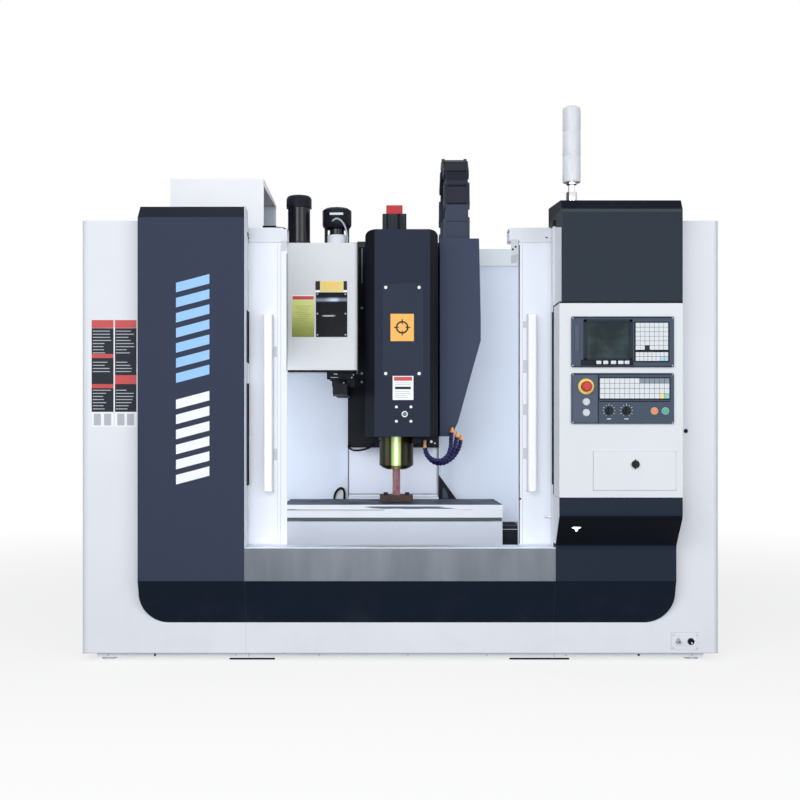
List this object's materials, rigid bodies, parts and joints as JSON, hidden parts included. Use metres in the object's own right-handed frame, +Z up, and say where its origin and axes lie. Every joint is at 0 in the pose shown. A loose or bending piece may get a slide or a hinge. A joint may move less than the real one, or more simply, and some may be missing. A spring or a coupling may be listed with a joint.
{
  "type": "cnc machining center",
  "caption": "Vertical machining center in a sheet-metal enclosure with sliding doors, moving table, vertical spindle head, tool changer and control column.",
  "frame": {"origin": "on the floor under the middle of the machine's box", "axes": "+Z up, +X to the right seen from the doors, +Y from the doors to the back"},
  "size_m": [2.5, 2.184, 2.2486],
  "materials": {
    "white_panel": "semi-gloss powder coat",
    "dark_panel": "satin powder coat",
    "grey_cover": "satin powder coat",
    "head_paint": "satin paint",
    "duct_paint": "satin paint",
    "black_paint": "satin paint",
    "wall_paint": "satin powder coat",
    "sill_steel": "brushed",
    "cover_steel": "brushed",
    "casting": "painted casting",
    "table_iron": "ground and oiled",
    "zinc_gold": "yellow passivated",
    "spindle_steel": "ground",
    "prop_brown": "dull primer",
    "prop_pink": "dull primer",
    "pane": "clear",
    "handle_white": "gloss",
    "lamp_opal": "opal",
    "unit_grey": "fine texture",
    "button_red": "gloss",
    "button_white": "gloss",
    "button_orange": "gloss",
    "button_green": "gloss",
    "knob_black": "fine texture",
    "motor_black": "satin",
    "chain_black": "satin",
    "hose_navy": "satin",
    "disc_alloy": "machined"
  },
  "bodies": {
    "machine": {"left_front_panel": "white_panel", "lower_front_panel": "white_panel", "right_front_panel": "white_panel", "left_dark_panel": "dark_panel", "lower_dark_band": "dark_panel", "sill": "sill_steel", "control_column": "white_panel", "control_head_box": "dark_panel", "control_foot_box": "dark_panel", "screen_unit": "unit_grey", "operator_panel": "unit_grey", "signal_lamp": "lamp_opal", "left_rail_cover": "dark_panel", "right_rail_cover": "dark_panel", "left_wall": "white_panel", "right_wall": "white_panel", "plinth_frame": "black_paint", "electrical_cabinet": "white_panel", "rear_wall_left": "wall_paint", "rear_wall_right": "wall_paint", "machine_base": "casting", "column": "casting", "z_motor": "motor_black", "z_cover_fixed": "cover_steel", "atc_housing": "grey_cover", "atc_drive_motor": "motor_black", "atc_fan_motor": "motor_black", "magazine_box": "white_panel"},
    "left_door": {"left_door": "white_panel", "left_door_glass": "pane", "left_door_handle": "handle_white"},
    "right_door": {"right_door": "white_panel", "right_door_glass": "pane", "right_door_handle": "handle_white"},
    "cross_slide": {"saddle": "casting", "saddle_apron": "wall_paint"},
    "work_table": {"table": "table_iron", "prop_block": "prop_brown", "prop_bar": "prop_pink"},
    "spindle_head": {"head_slide": "black_paint", "head_cover": "head_paint", "spindle_housing": "zinc_gold", "duct_cover": "duct_paint", "cable_chain": "chain_black", "coolant_hoses": "hose_navy", "z_cover_upper": "cover_steel"},
    "spindle": {"spindle": "spindle_steel"},
    "z_cover_middle": {"z_cover_middle": "cover_steel"},
    "tool_release": {"tool_release_button": "button_green"},
    "atc_arm": {"atc_arm": "black_paint"},
    "magazine_disc": {"magazine_disc": "disc_alloy"},
    "stop_button": {"stop_button": "button_red"},
    "power_on_button": {"power_on_button": "button_white"},
    "power_off_button": {"power_off_button": "button_white"},
    "start_button": {"start_button": "button_orange"},
    "hold_button": {"hold_button": "button_green"},
    "feed_knob": {"feed_knob": "knob_black"},
    "speed_knob": {"speed_knob": "knob_black"},
    "storage_flap": {"storage_flap": "white_panel"},
    "flap_lock": {"flap_lock": "knob_black"}
  },
  "joints": [
    {"name": "left_door_slide", "type": "slide", "parent": "machine", "child": "left_door", "axis": [1, 0, 0], "range_m": [0, 0.46]},
    {"name": "right_door_slide", "type": "slide", "parent": "machine", "child": "right_door", "axis": [-1, 0, 0], "range_m": [0, 0.46]},
    {"name": "y_axis", "type": "slide", "parent": "machine", "child": "cross_slide", "axis": [0, 1, 0], "range_m": [-0.26, 0.16]},
    {"name": "x_axis", "type": "slide", "parent": "cross_slide", "child": "work_table", "axis": [1, 0, 0], "range_m": [-0.303, 0.347]},
    {"name": "z_axis", "type": "slide", "parent": "machine", "child": "spindle_head", "axis": [0, 0, 1], "range_m": [0, 0.45]},
    {"name": "z_cover_slide", "type": "slide", "parent": "machine", "child": "z_cover_middle", "axis": [0, 0, 1], "range_m": [0, 0.225]},
    {"name": "spindle_spin", "type": "hinge", "parent": "spindle_head", "child": "spindle", "pos_m": [-0.004, 0.056, 0.719], "axis": [0, 0, 1], "continuous": true},
    {"name": "tool_release_push", "type": "slide", "parent": "spindle_head", "child": "tool_release", "axis": [0, 1, 0], "range_m": [0, 0.003], "stiffness_N_per_m": 800},
    {"name": "tool_arm_swing", "type": "hinge", "parent": "machine", "child": "atc_arm", "pos_m": [-0.262, 0.056, 1.066], "axis": [0, 0, 1], "range_deg": [-15, 15]},
    {"name": "magazine_turn", "type": "hinge", "parent": "machine", "child": "magazine_disc", "pos_m": [-0.79, 0.056, 1.59], "axis": [1, 0, 0], "continuous": true},
    {"name": "stop_push", "type": "slide", "parent": "machine", "child": "stop_button", "axis": [0, 1, 0], "range_m": [0, 0.005]},
    {"name": "power_on_push", "type": "slide", "parent": "machine", "child": "power_on_button", "axis": [0, 1, 0], "range_m": [0, 0.003], "stiffness_N_per_m": 800},
    {"name": "power_off_push", "type": "slide", "parent": "machine", "child": "power_off_button", "axis": [0, 1, 0], "range_m": [0, 0.003], "stiffness_N_per_m": 800},
    {"name": "start_push", "type": "slide", "parent": "machine", "child": "start_button", "axis": [0, 1, 0], "range_m": [0, 0.003], "stiffness_N_per_m": 800},
    {"name": "hold_push", "type": "slide", "parent": "machine", "child": "hold_button", "axis": [0, 1, 0], "range_m": [0, 0.003], "stiffness_N_per_m": 800},
    {"name": "feed_turn", "type": "hinge", "parent": "machine", "child": "feed_knob", "pos_m": [0.786, -1.063, 0.977], "axis": [0, 1, 0], "range_deg": [-135, 135]},
    {"name": "speed_turn", "type": "hinge", "parent": "machine", "child": "speed_knob", "pos_m": [0.852, -1.063, 0.977], "axis": [0, 1, 0], "range_deg": [-135, 135]},
    {"name": "flap_hinge", "type": "hinge", "parent": "machine", "child": "storage_flap", "pos_m": [0.8845, -1.058, 0.676], "axis": [1, 0, 0], "range_deg": [0, 95]},
    {"name": "lock_turn", "type": "hinge", "parent": "storage_flap", "child": "flap_lock", "pos_m": [0.887, -1.058, 0.774], "axis": [0, 1, 0], "range_deg": [0, 90]}
  ],
  "couplings": [
    {"joint": "z_cover_slide", "follows": "z_axis", "ratio": 0.5}
  ]
}
